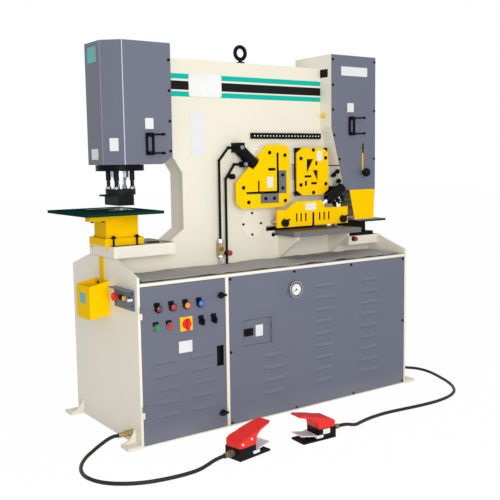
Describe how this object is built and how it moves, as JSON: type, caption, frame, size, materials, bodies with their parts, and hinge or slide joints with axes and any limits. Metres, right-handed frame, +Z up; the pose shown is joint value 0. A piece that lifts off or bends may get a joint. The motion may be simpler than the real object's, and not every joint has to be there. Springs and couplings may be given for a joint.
{
  "type": "hydraulic ironworker",
  "caption": "Hydraulic ironworker on a steel cabinet: plate punch at one end, angle, bar and flat shears in the middle, notcher at the other, foot pedals on cords.",
  "frame": {"origin": "centre of the four anchor holes, on the floor", "axes": "+X from the punch end to the notcher end, +Y from the operator's side to the back, +Z up"},
  "size_m": [2.119, 1.0356, 1.717],
  "materials": {
    "cream_paint": "satin",
    "grey_paint": "satin",
    "deck_grey": "matt",
    "yellow_paint": "gloss",
    "black_steel": "satin",
    "dark_table": "satin",
    "tool_steel": "ground",
    "chrome_rod": "polished",
    "brass_fitting": "machined",
    "black_plastic": "moulded",
    "red_plastic": "moulded",
    "green_plastic": "moulded",
    "white_plastic": "moulded",
    "cord_rubber": "matt",
    "power_grey": "satin"
  },
  "bodies": {
    "machine": {"side_panels": "cream_paint", "cabinet_floor": "cream_paint", "frame_front_plate": "cream_paint", "frame_rear_plate": "cream_paint", "shear_housing": "cream_paint", "pivot_pin": "cream_paint", "station_blocks": "cream_paint", "jaw_boxes": "cream_paint", "front_panel": "grey_paint", "rear_panel": "grey_paint", "punch_cover": "grey_paint", "shear_cover": "grey_paint", "side_control_box": "grey_paint", "deck_plate": "deck_grey", "flat_table": "deck_grey", "table_bolster": "yellow_paint", "guard_plates": "yellow_paint", "punch_cylinder": "black_steel", "shear_cylinder": "black_steel", "hold_down_cylinders": "black_steel", "notch_die": "black_steel", "punch_die": "black_steel", "stripper": "dark_table", "punch_table": "dark_table", "fixed_blades": "tool_steel", "eye_bolt": "tool_steel", "hydraulic_tubes": "brass_fitting", "cord_glands": "brass_fitting", "pressure_gauge": "black_plastic", "pedal_bases": "black_plastic", "pedal_hoods": "red_plastic", "lamp_bar": "white_plastic", "cord_left": "cord_rubber", "cord_right": "cord_rubber", "power_pack": "power_grey"},
    "punch_ram": {"punch_ram": "tool_steel"},
    "shear_beam": {"shear_beam": "black_steel", "beam_blades": "tool_steel"},
    "shear_rod": {"shear_rod": "chrome_rod"},
    "angle_rod": {"angle_hold_down_rod": "chrome_rod"},
    "flat_clamp": {"flat_clamp": "yellow_paint"},
    "flat_rod": {"flat_hold_down_rod": "chrome_rod"},
    "control_door": {"control_door": "grey_paint"},
    "start_button": {"start_button": "green_plastic"},
    "stop_button": {"stop_button": "red_plastic"},
    "main_switch": {"main_switch": "red_plastic"},
    "selector_left": {"selector_left": "black_plastic"},
    "selector_right": {"selector_right": "black_plastic"},
    "latch_top": {"latch_top": "chrome_rod"},
    "latch_bottom": {"latch_bottom": "chrome_rod"},
    "hatch": {"hatch": "grey_paint"},
    "treadle_left": {"treadle_left": "tool_steel"},
    "treadle_right": {"treadle_right": "tool_steel"},
    "slug_bin": {"slug_bin": "yellow_paint"},
    "emergency_stop": {"emergency_stop": "red_plastic"},
    "punch_stop": {"punch_stop": "black_plastic"},
    "shear_stop": {"shear_stop": "black_plastic"},
    "stroke_knob": {"stroke_knob": "black_plastic"},
    "clamp_knob_left": {"clamp_knob_left": "black_plastic"},
    "clamp_knob_right": {"clamp_knob_right": "black_plastic"}
  },
  "joints": [
    {"name": "punch_ram_slide", "type": "slide", "parent": "machine", "child": "punch_ram", "axis": [0, 0, -1], "range_m": [0, 0.045]},
    {"name": "shear_beam_pivot", "type": "hinge", "parent": "machine", "child": "shear_beam", "pos_m": [-0.012, 0, 0.868], "axis": [0, 1, 0], "range_deg": [0, 6]},
    {"name": "shear_rod_slide", "type": "slide", "parent": "machine", "child": "shear_rod", "axis": [0, 0, -1], "range_m": [0, 0.066]},
    {"name": "angle_hold_down_slide", "type": "slide", "parent": "machine", "child": "angle_rod", "axis": [0.7559, 0, -0.6547], "range_m": [0, 0.035]},
    {"name": "flat_clamp_slide", "type": "slide", "parent": "machine", "child": "flat_clamp", "axis": [0, 0, -1], "range_m": [0, 0.015]},
    {"name": "flat_hold_down_slide", "type": "slide", "parent": "machine", "child": "flat_rod", "axis": [-0.8654, 0, -0.501], "range_m": [0, 0.008]},
    {"name": "control_door_hinge", "type": "hinge", "parent": "machine", "child": "control_door", "pos_m": [-0.763, -0.3266, 0.338], "axis": [0, 0, -1], "range_deg": [0, 35]},
    {"name": "hatch_hinge", "type": "hinge", "parent": "machine", "child": "hatch", "pos_m": [-0.0982, -0.3266, 0.408], "axis": [0, 0, 1], "range_deg": [0, 110]},
    {"name": "start_button_push", "type": "slide", "parent": "control_door", "child": "start_button", "axis": [0, 1, 0], "range_m": [0, 0.005], "stiffness_N_per_m": 400, "springref_m": -0.002},
    {"name": "stop_button_push", "type": "slide", "parent": "control_door", "child": "stop_button", "axis": [0, 1, 0], "range_m": [0, 0.005], "stiffness_N_per_m": 400, "springref_m": -0.002},
    {"name": "main_switch_turn", "type": "hinge", "parent": "control_door", "child": "main_switch", "pos_m": [-0.55, -0.321, 0.4935], "axis": [0, 1, 0], "range_deg": [0, 90]},
    {"name": "selector_left_turn", "type": "hinge", "parent": "control_door", "child": "selector_left", "pos_m": [-0.474, -0.321, 0.4935], "axis": [0, 1, 0], "range_deg": [-45, 45]},
    {"name": "selector_right_turn", "type": "hinge", "parent": "control_door", "child": "selector_right", "pos_m": [-0.411, -0.321, 0.4935], "axis": [0, 1, 0], "range_deg": [-45, 45]},
    {"name": "latch_top_turn", "type": "hinge", "parent": "control_door", "child": "latch_top", "pos_m": [-0.373, -0.321, 0.5955], "axis": [0, 1, 0], "range_deg": [0, 90]},
    {"name": "latch_bottom_turn", "type": "hinge", "parent": "control_door", "child": "latch_bottom", "pos_m": [-0.373, -0.321, 0.0715], "axis": [0, 1, 0], "range_deg": [0, 90]},
    {"name": "treadle_left_pivot", "type": "hinge", "parent": "machine", "child": "treadle_left", "pos_m": [-0.47003, -0.63562, 0.02], "axis": [-0.165, 0.9863, 0], "range_deg": [0, 6], "stiffness_Nm_per_rad": 4, "springref_deg": -6.88},
    {"name": "treadle_right_pivot", "type": "hinge", "parent": "machine", "child": "treadle_right", "pos_m": [-0.1269, -0.66007, 0.02], "axis": [-0.0523, -0.9986, 0], "range_deg": [0, 6], "stiffness_Nm_per_rad": 4, "springref_deg": -6.88},
    {"name": "slug_bin_lift_off", "type": "slide", "parent": "machine", "child": "slug_bin", "axis": [-1, 0, 0], "range_m": [0, 0.15]},
    {"name": "emergency_stop_push", "type": "slide", "parent": "machine", "child": "emergency_stop", "axis": [1, 0, 0], "range_m": [0, 0.006], "stiffness_N_per_m": 500, "springref_m": -0.002},
    {"name": "punch_stop_slide", "type": "slide", "parent": "machine", "child": "punch_stop", "axis": [0, 0, -1], "range_m": [0, 0.04]},
    {"name": "shear_stop_slide", "type": "slide", "parent": "machine", "child": "shear_stop", "axis": [0, 0, -1], "range_m": [0, 0.04]},
    {"name": "stroke_knob_slide", "type": "slide", "parent": "machine", "child": "stroke_knob", "axis": [0, 0, 1], "range_m": [0, 0.12]},
    {"name": "clamp_knob_left_turn", "type": "hinge", "parent": "machine", "child": "clamp_knob_left", "pos_m": [0.112, -0.055, 0.87], "axis": [0, -1, 0], "range_deg": [0, 180]},
    {"name": "clamp_knob_right_turn", "type": "hinge", "parent": "machine", "child": "clamp_knob_right", "pos_m": [0.487, -0.055, 0.87], "axis": [0, -1, 0], "range_deg": [0, 180]}
  ],
  "couplings": [
    {"joint": "shear_rod_slide", "follows": "shear_beam_pivot", "m_per_rad": 0.612},
    {"joint": "flat_hold_down_slide", "follows": "flat_clamp_slide", "ratio": 0.5}
  ]
}
